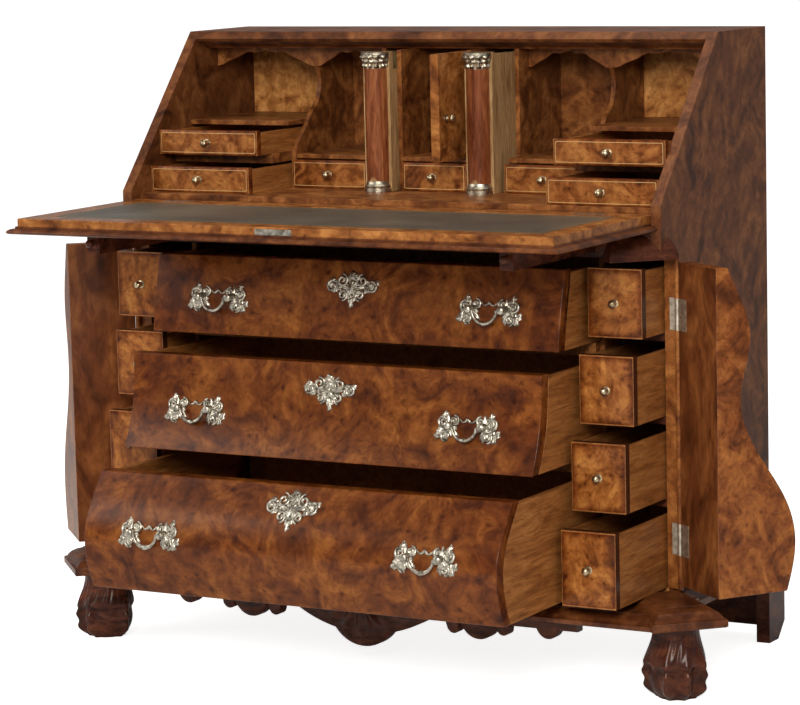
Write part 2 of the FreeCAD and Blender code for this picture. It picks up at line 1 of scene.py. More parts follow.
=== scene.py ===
"""Secretaire chest, dressed: veneers, carving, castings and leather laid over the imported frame.

Metres. +Z is up, +X is the sitter's right, -Y is the front; the chest stands open, as in its photograph."""
import json
import bmesh
import bpy
import numpy as np
from math import atan2, cos, pi, radians, sin
from mathutils import Matrix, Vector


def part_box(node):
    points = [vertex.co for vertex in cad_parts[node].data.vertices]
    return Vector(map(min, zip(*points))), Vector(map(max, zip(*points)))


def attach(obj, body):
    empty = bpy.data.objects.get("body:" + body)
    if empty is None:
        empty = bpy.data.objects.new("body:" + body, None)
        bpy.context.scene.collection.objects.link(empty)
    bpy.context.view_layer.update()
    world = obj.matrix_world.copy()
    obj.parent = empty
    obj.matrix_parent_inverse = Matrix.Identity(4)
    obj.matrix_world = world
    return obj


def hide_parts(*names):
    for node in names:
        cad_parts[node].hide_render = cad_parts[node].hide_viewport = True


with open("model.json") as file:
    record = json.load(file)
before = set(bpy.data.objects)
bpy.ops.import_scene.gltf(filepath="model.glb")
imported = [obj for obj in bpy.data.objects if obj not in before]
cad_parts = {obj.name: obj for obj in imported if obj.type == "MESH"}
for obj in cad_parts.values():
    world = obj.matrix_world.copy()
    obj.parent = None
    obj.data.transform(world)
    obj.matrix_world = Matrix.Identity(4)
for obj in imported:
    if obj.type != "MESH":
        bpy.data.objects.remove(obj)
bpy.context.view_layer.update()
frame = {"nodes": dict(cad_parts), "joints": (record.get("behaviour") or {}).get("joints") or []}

# Carcass: the sides, top, floors, rails and partitions that carry everything else.
# Oak and pine boards, burl veneer on every face that shows, glued and housed into each other.
nodes = frame["nodes"]
white = (1.0, 1.0, 1.0)
arris, arris_steps, weld_reach = 0.0009, 2, 0.00001
swirl, swirl_scale, swirl_detail = 0.55, 0.8, 3.0
streak_scale, streak_detail, streak_bend = 2.1, 9.0, 1.5
streak_stops = (0.31, 0.48, 0.67)
fibre_scale, fibre_detail, fibre_bend, fibre_strength = 11.0, 6.0, 1.0, 0.8
fibre_stops = ((0.32, (0.5, 0.42, 0.36)), (0.62, white))
eye_scale = 6.0
eye_stops = ((0.06, (0.3, 0.2, 0.14)), (0.24, (0.86, 0.8, 0.74)), (0.5, white))
polish = {"Specular IOR Level": 0.2, "Coat Weight": 0.05, "Coat Roughness": 0.12}


def set_inputs(tree, node, inputs):
    """Link each input that is given as a socket, and set each that is given as a value."""
    for key, value in inputs.items():
        if isinstance(value, bpy.types.NodeSocket):
            tree.links.new(value, node.inputs[key])
        else:
            node.inputs[key].default_value = value


def add_node(tree, kind, inputs, operation=None):
    """A new shader node of the given kind and operation, with its inputs."""
    node = tree.nodes.new("ShaderNode" + kind)
    if operation:
        node.operation = operation
    set_inputs(tree, node, inputs)
    return node


def new_material(name):
    """A fresh material, its node tree and its shader."""
    material = bpy.data.materials.new(name)
    material.use_nodes = True
    return material, material.node_tree, material.node_tree.nodes["Principled BSDF"]


def ramp_of(tree, factor, stops):
    """The colour that a ramp through (place, colour) stops gives at factor."""
    ramp = add_node(tree, "ValToRGB", {0: factor})
    while len(ramp.color_ramp.elements) < len(stops):
        ramp.color_ramp.elements.new(1.0)
    for element, (stop, colour) in zip(ramp.color_ramp.elements, stops):
        element.position = stop
        element.color = (*colour, 1.0)
    return ramp.outputs[0]


def mixed(tree, blend, factor, first, second):
    """Two colours mixed; 6 and 7 are the mix node's colour inputs, 2 is its colour output."""
    mix = tree.nodes.new("ShaderNodeMix")
    mix.data_type = "RGBA"
    mix.blend_type = blend
    set_inputs(tree, mix, {0: factor, 6: first, 7: second})
    return mix.outputs[2]


def noise_of(tree, vector, scale, detail, distortion=0.0, output="Fac"):
    """A noise read at vector, as a grey value or another output."""
    inputs = {"Vector": vector, "Scale": scale, "Detail": detail, "Distortion": distortion}
    return add_node(tree, "TexNoise", inputs).outputs[output]


def wood(name, dark, mid, light, figure, stretch=(1.0, 1.0, 1.0), eyes=0.0, gloss=0.3, ends=None):
    """Polished timber. The coordinates are bent by a slow noise, and a noise at the scale of the figure, read
    there, runs through dark, mid and light, so its streaks swirl. A finer noise breaks it into fibres, eyes
    darkens small round cells, as in burl, and ends is (start, stop, colour) along |x|."""
    material, tree, shader = new_material(name)
    place = add_node(tree, "TexCoord", {}).outputs["Object"]
    grain = add_node(tree, "Mapping", {"Vector": place, "Scale": stretch}).outputs[0]
    slow = noise_of(tree, grain, figure * swirl_scale, swirl_detail, output="Color")
    bend = {0: slow, 1: (swirl / figure,) * 3, 2: grain}
    bent = add_node(tree, "VectorMath", bend, "MULTIPLY_ADD").outputs[0]
    streaks = noise_of(tree, bent, figure * streak_scale, streak_detail, streak_bend)
    ground = ramp_of(tree, streaks, tuple(zip(streak_stops, (dark, mid, light))))
    fibres = noise_of(tree, bent, figure * fibre_scale, fibre_detail, fibre_bend)
    colour = mixed(tree, "MULTIPLY", fibre_strength, ground, ramp_of(tree, fibres, fibre_stops))
    if eyes:
        cells = add_node(tree, "TexVoronoi", {"Vector": bent, "Scale": figure * eye_scale})
        colour = mixed(tree, "MULTIPLY", eyes, colour, ramp_of(tree, cells.outputs["Distance"], eye_stops))
    if ends:
        start, stop, shade = ends
        across = add_node(tree, "SeparateXYZ", {0: place}).outputs[0]
        away = add_node(tree, "Math", {0: across}, "ABSOLUTE").outputs[0]
        span = add_node(tree, "MapRange", {"Value": away, "From Min": start, "From Max": stop}).outputs[0]
        colour = mixed(tree, "MULTIPLY", span, colour, (*shade, 1.0))
    set_inputs(tree, shader, {"Base Color": colour, "Roughness": gloss, **polish})
    return material


def boards(names, material, easing=arris):
    """Give CAD boards their finish, and eased edges where easing is more than nothing."""
    for name in names:
        board = nodes[name]
        board.data.materials.clear()
        board.data.materials.append(material)
        if not easing:
            continue
        weld = board.modifiers.new("weld", "WELD")
        weld.merge_threshold = weld_reach
        ease = board.modifiers.new("eased edges", "BEVEL")
        ease.width = easing
        ease.segments = arris_steps
        ease.limit_method = "ANGLE"


case_veneer = wood(
    "case_veneer", (0.055, 0.016, 0.005), (0.14, 0.044, 0.013), (0.23, 0.085, 0.026), 6.0,
    eyes=0.5, gloss=0.48)
inner_veneer = wood(
    "inner_veneer", (0.085, 0.024, 0.007), (0.2, 0.066, 0.017), (0.36, 0.14, 0.04), 9.0, eyes=0.5, gloss=0.4)
timber = wood(
    "drawer_timber", (0.22, 0.075, 0.018), (0.33, 0.122, 0.031), (0.42, 0.175, 0.05), 3.0,
    stretch=(9.0, 1.0, 9.0), gloss=0.5)
dark_wood = wood(
    "dark_mahogany", (0.026, 0.007, 0.004), (0.066, 0.018, 0.009), (0.13, 0.038, 0.017), 8.0,
    stretch=(1.0, 1.0, 2.0), gloss=0.26)
boards(("side_panel_right", "side_panel_left", "top_board"), case_veneer)
boards(("desk_floor", "desk_partitions", "desk_shelves", "back_panel", "inner_partitions"), inner_veneer)
boards(("drawer_rails",), timber)
# The small drawer shelves take the dark mahogany as painted shade, for the deep shadow between the small
# drawers.
boards(("front_rail", "small_drawer_shelves"), dark_wood)
boards(("rear_bracket_feet",), dark_wood, easing=0.0)

# Plinth: the moulded base frame that carries the case, with a diagonal block under each pilaster.
# Dark mahogany; the moulding is run in lengths, mitred at every corner and glued to the frame.
joints = {joint["name"]: joint for joint in frame["joints"]}
corner_hinge = joints["pilaster_right_hinge"]["pos_m"]
diagonal_angle = radians(46.0)
slant_foot_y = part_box("side_panel_right")[0].y
back_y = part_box("back_panel")[1].y
flank_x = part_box("rear_bracket_feet")[1].x
plinth_low, plinth_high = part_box("plinth")
top_clearance = 0.0002
plinth_base, plinth_rise = plinth_low.z, plinth_high.z - plinth_low.z - top_clearance
block_start, block_end, block_reach = -0.024, 0.104, 0.144
front_bar_ahead, front_bar_rise, front_bar_short = 0.122, 0.0215, 0.004
stile_behind, flank_thickness, rear_rail_thickness = 0.053, 0.045, 0.024
slope_profile = ((0.002, 0.0), (0.0, 0.06), (0.0, 0.34), (0.002, 0.41), (0.005, 0.43), (0.007, 0.54),
                 (0.012, 0.7), (0.02, 0.85), (0.03, 0.96), (0.03, 1.0))
mirror = np.array((-1, 1, 1))
merge_reach, rounding_steps = 1e-6, 3
sharp_angle = radians(38.0)


def piece(name, shells, material, body, replaced=(), ease=0.0, edge=None):
    """One mesh made of shells. A shell is a grid of points; its columns close into a ring and its end rows
    are capped. Rows that shrink to a point merge into a pole, and faces are turned outwards. edge is each
    point's distance to the nearest edge, for a material that reads it."""
    points, faces, first = [], [], 0
    for shell in shells:
        rows, cols = shell.shape[:2]
        ring = first + np.arange(rows * cols).reshape(rows, cols)
        after = np.roll(ring, -1, axis=1)
        faces += np.stack([ring[:-1], after[:-1], after[1:], ring[1:]], -1).reshape(-1, 4).tolist()
        faces += [ring[0, ::-1].tolist(), ring[-1].tolist()]
        points.append(shell.reshape(-1, 3))
        first += rows * cols
    mesh = bpy.data.meshes.new(name)
    mesh.from_pydata(np.concatenate(points).tolist(), [], faces)
    if edge is not None:
        distances = mesh.attributes.new("edge", "FLOAT", "POINT")
        distances.data.foreach_set("value", edge.ravel().astype(np.float32))
    solid = bmesh.new()
    solid.from_mesh(mesh)
    bmesh.ops.remove_doubles(solid, verts=solid.verts, dist=merge_reach)
    bmesh.ops.recalc_face_normals(solid, faces=solid.faces)
    solid.to_mesh(mesh)
    solid.free()
    mesh.shade_smooth()
    mesh.set_sharp_from_angle(angle=sharp_angle)
    mesh.materials.append(material)
    made = bpy.data.objects.new(name, mesh)
    bpy.context.scene.collection.objects.link(made)
    if ease:
        rounding = made.modifiers.new("eased edges", "BEVEL")
        rounding.width = ease
        rounding.segments = rounding_steps
        rounding.limit_method = "ANGLE"
        rounding.angle_limit = sharp_angle
        rounding.harden_normals = True
    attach(made, body)
    if replaced:
        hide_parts(*replaced)


def plan_box(x0, x1, y0, y1):
    """The four corners of an oblong in plan."""
    return np.array([(x0, y0), (x1, y0), (x1, y1), (x0, y1)])


def upright(plan, bottom, top):
    """A straight shell: a plan outline at its bottom and again at its top."""
    return np.stack([np.column_stack([plan, np.full(len(plan), z)]) for z in (bottom, top)])


def diagonal(u, t):
    """A point in plan of the right corner: u along the closed pilaster from its hinge, t outwards from it."""
    cosine, sine = cos(diagonal_angle), sin(diagonal_angle)
    return corner_hinge[0] - u * cosine + t * sine, corner_hinge[1] - u * sine - t * cosine


def corner_shell(start, end, back, reach, heights):
    """A shell on the right corner: at each height a ring of four corners, from start to end along the closed
    pilaster and from back to reach outwards."""
    corners = (diagonal(start, back), diagonal(start, reach), diagonal(end, reach), diagonal(end, back))
    return np.stack([np.column_stack([x, y, heights]) for x, y in corners], 1)


def run(section, path):
    """Carry a section of (outwards, height) points along a plan path: at each corner the outward offset
    follows the mitre, the sum of the two neighbouring normals divided by one plus their dot product."""
    path = np.array(path, float)
    step = np.diff(path, axis=0)
    normal = np.stack([step[:, 1], -step[:, 0]], -1) / np.linalg.norm(step, axis=1)[:, None]
    before = np.concatenate([normal[:1], normal])
    after = np.concatenate([normal, normal[-1:]])
    mitre = (before + after) / (1 + (before * after).sum(1))[:, None]
    out, height = np.array(section, float).T
    plan = path[:, None, :] + mitre[:, None, :] * out[None, :, None]
    return np.concatenate([plan, np.broadcast_to(height[None, :, None], plan.shape[:2] + (1,))], -1)


def slope_section(rise, thickness):
    """The section of a plinth board of the given rise and thickness, with the sloped moulding on its face."""
    face = [(-inset, plinth_base + rise * share) for inset, share in slope_profile]
    return face + [(-thickness, plinth_base + rise), (-thickness, plinth_base)]


moulding_wood = wood(
    "moulding_mahogany", (0.042, 0.011, 0.004), (0.105, 0.03, 0.01), (0.18, 0.06, 0.018), 8.0, gloss=0.3)
slope_inset, slope_share = np.array(slope_profile).T
block = corner_shell(block_start + slope_inset, block_end - slope_inset, 0.0, block_reach - slope_inset,
                     plinth_base + plinth_rise * slope_share)
stile_y, front_bar_y = slant_foot_y + stile_behind, slant_foot_y - front_bar_ahead
flank = run(slope_section(plinth_rise, flank_thickness), [(flank_x, stile_y), (flank_x, back_y)])
front_end = diagonal(block_end, block_reach)[0] - front_bar_short
front_bar = run(slope_section(front_bar_rise, stile_y - front_bar_y),
                [(-front_end, front_bar_y), (front_end, front_bar_y)])
inner_x = flank_x - flank_thickness
rear_rail = upright(plan_box(-inner_x, inner_x, back_y - rear_rail_thickness, back_y),
                    plinth_base, plinth_base + plinth_rise)
piece("plinth_moulding", [block, block * mirror, flank, flank * mirror, front_bar, rear_rail], moulding_wood,
      "carcass", ("plinth",))

# Apron: the scalloped board under the plinth, with a carved shell at its middle.
# Dark mahogany, sawn to shape, its lower edge rounded over and the shell carved in the solid.
apron_low, apron_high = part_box("apron")
apron_cols, apron_rows, apron_band = 401, 22, 0.02
lobes = ((0.0, 0.066, 0.08), (0.0, 0.245, 0.058), (0.172, 0.012, 0.042), (0.219, 0.034, 0.048),
         (0.264, 0.012, 0.038), (0.346, 0.02, 0.036))
shell_eye, shell_half, shell_fullness = 0.012, 0.064, 0.7
flute_height, flute_swing, flute_count = 0.006, 0.0032, 13.0
lobe_leaf_at, lobe_leaf_half, lobe_leaf_height = 0.219, 0.034, 0.0035
edge_start, edge_round = 0.8, 0.004


def apron_drop(x):
    """Depth of the apron below the plinth at x: the deepest of the plain band and of the round lobes."""
    drop = np.full_like(x, apron_band)
    for centre, radius, depth in lobes:
        inside = np.clip(radius**2 - (np.abs(x) - centre)**2, 0.0, None)
        drop = np.maximum(drop, np.where(inside > 0, depth - radius + np.sqrt(inside), 0.0))
    return drop


def shell_relief(x, v, drop):
    """Height of the carved shell: flutes that fan out from the top middle, dying away at its rim; the side
    lobes get a shallow leaf."""
    fan = np.arctan2(x, v * drop + shell_eye)
    rim = np.sqrt(np.clip(1 - (x / shell_half)**2, 0, 1)) * np.sin(pi * v**shell_fullness)
    flutes = (flute_height + flute_swing * np.cos(fan * flute_count)) * rim
    leaf = np.clip(1 - ((np.abs(x) - lobe_leaf_at) / lobe_leaf_half)**2, 0, 1) * np.sin(pi * v)
    return flutes + lobe_leaf_height * leaf


apron_x = np.linspace(apron_low.x, apron_high.x, apron_cols)[:, None]
down = np.linspace(0, 1, apron_rows)[None, :]
apron_depth = apron_drop(apron_x)
rounding_over = edge_round * (np.clip(down - edge_start, 0, 1) / (1 - edge_start))**2
apron_y = apron_low.y - shell_relief(apron_x, down, apron_depth) + rounding_over
front_sheet = np.stack([apron_x + 0.0 * down, apron_y, apron_high.z - apron_depth * down], -1)
back_sheet = (front_sheet * (1, 0, 1) + (0, apron_high.y, 0))[:, ::-1]
piece("apron_carving", [np.concatenate([front_sheet, back_sheet], 1)], dark_wood, "carcass",
      ("apron",))

# Front feet: claw feet, one under each diagonal block.
# Carved from solid dark mahogany: a short hairy ankle, and toes with knuckles gripping a ball.
sides = (("right", 1.0), ("left", -1.0))
foot_rows, foot_cols = 96, 192
toe_angles, toe_spread = (-2.1, -0.7, 0.0, 0.7, 2.1), 0.18
palm_at, palm_lip = 0.43, 0.02
ball_size, ball_middle, ball_foot = 0.0435, 0.034, 0.03
ankle_stations = ((0.0, 0.046), (0.3, 0.0475), (0.45, 0.0478), (0.62, 0.044), (0.8, 0.039), (1.0, 0.0365))
toe_stations = ((0.0, 0.005), (0.07, 0.0112), (0.15, 0.0138), (0.24, 0.0092), (0.33, 0.0138), (0.42, 0.0105),
                (0.55, 0.005), (0.7, 0.0014), (0.85, 0.0), (1.0, 0.0))
hair_depth, hair_at, hair_spread = 0.0006, 0.66, 0.16
hair_count, hair_sway, hair_waves = 26, 3.0, 5


def round_turn(count):
    """Angles spaced evenly round a full turn."""
    return np.linspace(0.0, 2 * pi, count, endpoint=False)


def spline(stations, at):
    """Natural cubic spline: the bends at the stations solve one small linear system, and each span is the
    cubic that meets its neighbours in place, slope and bend."""
    x, y = np.array(stations, float).T
    h = np.diff(x)
    system = np.diag([1, *2 * (h[:-1] + h[1:]), 1]) + np.diag([*h[:-1], 0], -1) + np.diag([0, *h[1:]], 1)
    bend = np.linalg.solve(system, [0, *6 * np.diff(np.diff(y) / h), 0])
    k = np.clip(np.searchsorted(x, at) - 1, 0, len(h) - 1)
    d, e = at - x[k], x[k + 1] - at
    curve = (bend[k] * e**3 + bend[k + 1] * d**3) / (6 * h[k])
    return curve + (y[k] / h[k] - bend[k] * h[k] / 6) * e + (y[k + 1] / h[k] - bend[k + 1] * h[k] / 6) * d


def claw_foot(centre, height, turn):
    """Radius over turn and height: a ball below, an ankle above it with a lip between, and toes over both. A
    toe is a ridge, bell-shaped in turn, with two knuckles and a claw; fine grooves of hair mark the ankle."""
    s = np.linspace(0, 1, foot_rows)[:, None]
    a = round_turn(foot_cols)[None, :]
    ball = np.sqrt(np.clip(ball_size**2 - (s * height - ball_middle)**2, ball_foot**2, None))
    palm = 1.0 / (1 + np.exp((palm_at - s) / palm_lip))
    core = ball * (1 - palm) + spline(ankle_stations, s) * palm
    ridge = 0.0 * a
    for angle in toe_angles:
        off = (a - turn - angle + pi) % (2 * pi) - pi
        ridge = np.maximum(ridge, np.exp(-(off / toe_spread)**2))
    grooves = np.cos(hair_count * a + hair_sway * np.sin(hair_waves * s))
    hair = hair_depth * np.exp(-((s - hair_at) / hair_spread)**2) * grooves
    radius = core + spline(toe_stations, s) * ridge + hair
    return np.stack([centre.x + radius * np.cos(a), centre.y + radius * np.sin(a), height * s + 0.0 * a], -1)


for side, sign in sides:
    low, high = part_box(f"front_foot_{side}")
    outward = atan2(-cos(diagonal_angle), sign * sin(diagonal_angle))
    piece(f"claw_foot_{side}", [claw_foot((low + high) / 2, high.z, outward)], dark_wood, "carcass",
          (f"front_foot_{side}",))

# Corner caps: the domed mouldings that close the tops of the diagonal corners, under the desk.
# Dark mahogany, turned over on three sides and mitred, planted on the corner.
pilaster_setoff, pilaster_width = 0.01, 0.11
cap_depth, cap_back, cap_overhang, cap_end_slope, cap_easing = 0.028, 0.006, 0.004, 0.6, 0.0015
cap_profile = ((0.0, 0.0), (0.001, 0.1), (0.001, 0.2), (0.004, 0.42), (0.009, 0.63), (0.015, 0.82),
               (0.021, 0.95), (0.026, 1.0))
cap_low, cap_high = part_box("corner_caps")
cap_inset, cap_share = np.array(cap_profile).T
pilaster_end = pilaster_setoff + pilaster_width
cap = corner_shell(pilaster_setoff - cap_overhang + cap_end_slope * cap_inset,
                   pilaster_end + cap_overhang - cap_end_slope * cap_inset,
                   -cap_back, cap_depth - cap_inset, cap_low.z + (cap_high.z - cap_low.z) * cap_share)
for side, sign in sides:
    piece(f"corner_dome_{side}", [cap * (sign, 1, 1)], dark_wood, "carcass",
          ("corner_caps",) if sign > 0 else (), ease=cap_easing)

# Pilasters: console-shaped doors, hinged at the case sides and standing open, and their worn butt hinges.
# Solid blocks bandsawn to an S and veneered with burl; the hinge leaves are screwed to case and block.
pilaster_stations = ((0.0, 0.128), (0.1415, 0.144), (0.2887, 0.125), (0.4547, 0.069), (0.6019, 0.045),
                     (0.8094, 0.063), (0.9245, 0.041), (1.0, 0.022))
pilaster_rows, pilaster_easing, closest_angle = 72, 0.002, 80.0
lining_start, lining_front, lining_back, lining_short = 0.005, 0.001, 0.0006, 0.0006
stile_reach, stile_gap, stile_front = 0.025, 0.0017, 0.0052
bead_radius, round_sides = 0.0046, 24
leaf_length, leaf_width, leaf_thickness = 0.052, 0.018, 0.0016
knuckle_radius, barrel_radius = 0.0048, 0.0047
plate_width, plate_gap, plate_front, plate_back = 0.016, 0.002, 0.0042, 0.0056
tarnish_scale, tarnish_detail, tarnish_stops = 140.0, 4.0, (0.32, 0.62)
waist_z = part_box("front_rail")[0].z
hinges_low, hinges_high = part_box("pilaster_hinges")


def metal(name, dark, light, gloss):
    """Cast metal: the colour runs from tarnish to bright by a fine noise, and is fully metallic."""
    material, tree, shader = new_material(name)
    place = add_node(tree, "TexCoord", {}).outputs["Object"]
    tarnish = noise_of(tree, place, tarnish_scale, tarnish_detail)
    tone = ramp_of(tree, tarnish, tuple(zip(tarnish_stops, (dark, light))))
    set_inputs(tree, shader, {"Base Color": tone, "Metallic": 1.0, "Roughness": gloss})
    return material


def round_bar(centre, radius, bottom, top):
    """An upright round bar: a ring of the given radius about a plan centre."""
    a = round_turn(round_sides)
    return upright(centre + radius * np.stack([np.cos(a), np.sin(a)], -1), bottom, top)


stile_wood = wood(
    "stile_veneer", (0.12, 0.034, 0.009), (0.26, 0.085, 0.02), (0.4, 0.155, 0.042), 9.0, eyes=0.5, gloss=0.36)
lining_wood = wood(
    "pilaster_lining", (0.05, 0.014, 0.005), (0.14, 0.04, 0.012), (0.25, 0.085, 0.024), 6.0,
    stretch=(1.0, 1.0, 0.5), gloss=0.34)
pilaster_veneer = wood(
    "pilaster_burl", (0.085, 0.022, 0.005), (0.215, 0.06, 0.013), (0.36, 0.125, 0.027),
    8.0, eyes=0.75, gloss=0.27)
nickel = metal("worn_nickel", (0.36, 0.32, 0.26), (0.62, 0.57, 0.48), 0.55)
boards(("pilaster_hinges",), nickel)
for side, sign in sides:
    body = f"pilaster_{side}"
    joint = joints[f"{body}_hinge"]
    hinge = np.array(joint["pos_m"][:2])
    swing = radians(closest_angle - joint["range_deg"][0])
    axes = np.array([(-sign * cos(swing), -sin(swing)), (sign * sin(swing), -cos(swing))])
    low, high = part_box(body)
    share = np.linspace(0, 1, pilaster_rows)
    depth = np.concatenate([spline(pilaster_stations, share), np.zeros(pilaster_rows)])
    rise = low.z + (high.z - low.z) * np.concatenate([share, share[::-1]])
    cheeks = [hinge + np.column_stack([np.full_like(depth, u), depth]) @ axes
              for u in (pilaster_setoff, pilaster_end)]
    console = np.stack([np.column_stack([cheek, rise]) for cheek in cheeks])
    piece(f"console_pilaster_{side}", [console], pilaster_veneer, body, (body,),
          ease=pilaster_easing)
    lining = hinge + plan_box(lining_start, pilaster_end - lining_short, -lining_back, lining_front) @ axes
    piece(f"pilaster_lining_{side}", [upright(lining, low.z + lining_short, high.z - lining_short)],
          lining_wood, body)
    edge_x = abs(hinge[0])
    stile = plan_box(edge_x - stile_reach, edge_x - stile_gap, hinge[1] + stile_front, stile_y) * (sign, 1)
    piece(f"hinge_stile_{side}", [upright(stile, plinth_high.z, waist_z),
                                  round_bar(hinge, bead_radius, plinth_high.z, waist_z)],
          stile_wood, "carcass")
    leaf = hinge + plan_box(knuckle_radius, pilaster_setoff + leaf_width, -leaf_thickness, 0.0) @ axes
    plate = plan_box(edge_x - plate_width, edge_x - plate_gap, hinge[1] + plate_front, hinge[1] + plate_back)
    leaves, plates = [], []
    for bottom in (hinges_low.z, hinges_high.z - leaf_length):
        leaves.append(upright(leaf, bottom, bottom + leaf_length))
        plates.append(upright(plate * (sign, 1), bottom, bottom + leaf_length))
        plates.append(round_bar(hinge, barrel_radius, bottom, bottom + leaf_length))
    piece(f"pilaster_leaves_{side}", leaves, nickel, body)
    piece(f"stile_leaves_{side}", plates, nickel, "carcass")

# Flap: the drop front, open on its lopers, with a moulded lip round three edges.
# A framed board veneered with burl, the lip dark mahogany glued on, the lock let into the front edge.
flap_low, flap_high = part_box("flap_panel")
leather_low, leather_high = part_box("writing_leather")
lip_width, lip_rise, lip_gap = 0.014, 0.012, 0.001
lip_lap, lip_quirk, lip_foot, lip_round, lip_steps = 0.002, 0.003, 0.002, 0.006, 8
flap_half, flap_edge_y, flap_easing = flap_high.x - lip_width, flap_low.y + lip_width, 0.0012
flap_top, flap_bottom, hinge_line_y = flap_high.z, flap_low.z, flap_high.y
flap_burl = wood(
    "flap_burl", (0.12, 0.036, 0.01), (0.3, 0.105, 0.025), (0.48, 0.2, 0.055), 8.0, eyes=0.7, gloss=0.25)
board = upright(plan_box(-flap_half, flap_half, flap_edge_y, hinge_line_y), flap_bottom, flap_top)
recess = upright(plan_box(-leather_high.x, leather_high.x, leather_low.y, leather_high.y),
                 flap_top, leather_low.z)
piece("flap_board", [np.concatenate([board, recess])], flap_burl, "flap", ("flap_panel",),
      ease=flap_easing)
ovolo = np.linspace(0.0, pi / 2, lip_steps)
lip_face = np.column_stack([lip_quirk + (lip_width - lip_quirk) * np.cos(ovolo),
                            flap_bottom + lip_quirk + lip_round * np.sin(ovolo)])
lip_section = [(-lip_lap, flap_bottom), (lip_width - lip_quirk, flap_bottom),
               (lip_width, flap_bottom + lip_foot), *lip_face,
               (lip_quirk, flap_bottom + lip_rise), (-lip_lap, flap_bottom + lip_rise)]
lip_back_y = slant_foot_y - lip_gap
lip_path = [(-flap_half, lip_back_y), (-flap_half, flap_edge_y), (flap_half, flap_edge_y),
            (flap_half, lip_back_y)]
piece("flap_lip", [run(lip_section, lip_path)], moulding_wood, "flap")
silver = metal("antique_silver", (0.15, 0.13, 0.1), (0.6, 0.56, 0.48), 0.34)
lock_low, lock_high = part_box("flap_lock_and_leaves")
lock_half, lock_depth, lock_lift, lock_sunk = 0.034, 0.014, 0.0003, 0.003
flap_leaf_width, flap_leaf_depth, flap_leaf_sunk, metal_proud = 0.058, 0.022, 0.002, 0.0004
lock_plate = upright(plan_box(-lock_half, lock_half, lock_low.y - metal_proud, lock_low.y + lock_depth),
                     lock_low.z + lock_lift, lock_high.z - lock_sunk)
flap_leaf = upright(plan_box(lock_high.x - flap_leaf_width, lock_high.x, hinge_line_y - flap_leaf_depth,
                             hinge_line_y), flap_top - flap_leaf_sunk, flap_top + metal_proud)
piece("flap_furniture", [lock_plate, flap_leaf, flap_leaf * mirror], silver, "flap",
      ("flap_lock_and_leaves",))
boards(("loper_right", "loper_left"), dark_wood)

# Writing leather: a sheet of dark hide let into the flap, tooled with a fine gilt line near its edge.
# It is pasted into a shallow recess, so its top lies all but level with the wooden border.
leather_cols, leather_rows, leather_sunk, leather_gloss = 120, 60, 0.0002, 0.42
leather_grain, leather_detail, leather_bend = 5.0, 9.0, 0.4
leather_stops = ((0.3, (0.045, 0.036, 0.026)), (0.55, (0.085, 0.07, 0.05)), (0.75, (0.13, 0.108, 0.078)))
tooled_line, tooled_width, tooled_gilt = 0.012, 0.0012, (0.34, 0.25, 0.1)


def edge_of(tree):
    """The distance to the nearest edge, as the mesh carries it."""
    read = tree.nodes.new("ShaderNodeAttribute")
    read.attribute_name = "edge"
    return read.outputs["Fac"]


def lined(tree, ground, line_at, line_width, line_colour):
    """Ground with a line over it where the distance to the edge is within half a width of line_at."""
    line = add_node(tree, "Math", {0: edge_of(tree), 1: line_at, 2: line_width / 2}, "COMPARE").outputs[0]
    return mixed(tree, "MIX", line, ground, (*line_colour, 1.0))


hide, tree, shader = new_material("writing_leather")
place = add_node(tree, "TexCoord", {}).outputs["Object"]
tone = ramp_of(tree, noise_of(tree, place, leather_grain, leather_detail, leather_bend), leather_stops)
set_inputs(tree, shader, {"Base Color": lined(tree, tone, tooled_line, tooled_width, tooled_gilt),
                          "Roughness": leather_gloss})
leather_x, leather_y = np.meshgrid(np.linspace(-leather_high.x, leather_high.x, leather_cols),
                                   np.linspace(leather_low.y, leather_high.y, leather_rows), indexing="ij")
from_edge = np.minimum(leather_high.x - np.abs(leather_x),
                       np.minimum(leather_y - leather_low.y, leather_high.y - leather_y))
top_sheet = np.stack([leather_x, leather_y, np.full_like(leather_x, leather_high.z - leather_sunk)], -1)
under_sheet = (top_sheet * (1, 1, 0) + (0, 0, leather_low.z))[:, ::-1]
piece("leather_sheet", [np.concatenate([top_sheet, under_sheet], 1)], hide, "flap",
      ("writing_leather",), edge=np.concatenate([from_edge, np.ones_like(from_edge)], 1))

# Wide drawers: three bombe fronts on plain boxes, drawn out by different amounts.
# The fronts are shaped pine veneered with burl, darker and redder at their ends; the boxes are plain timber.
bombe_stations = ((0.0, -0.086), (0.11, -0.107), (0.21, -0.103), (0.329, -0.062), (0.439, -0.024),
                  (0.548, -0.003), (0.722, 0.006), (1.0, 0.038))
bombe_lap, bombe_rows, bombe_cols = 0.004, 40, 3
front_thickness, front_easing = 0.024, 0.002
bombe_base = plinth_high.z - bombe_lap
drawer_burl = wood(
    "drawer_burl", (0.068, 0.016, 0.004), (0.15, 0.04, 0.008), (0.27, 0.09, 0.017), 7.0,
    eyes=0.8, gloss=0.26, ends=(0.24, 0.42, (0.78, 0.66, 0.6)))


def bombe_y(z):
    """Depth of the closed front at height z, from the slant's foot, on the spline through its stations."""
    return slant_foot_y + spline(bombe_stations, (z - bombe_base) / (waist_z - bombe_base))


def lengthwise(section, stops):
    """A straight shell along x: the same (depth, height) section at each stop."""
    return np.stack([np.column_stack([np.full(len(section), x), section]) for x in stops])


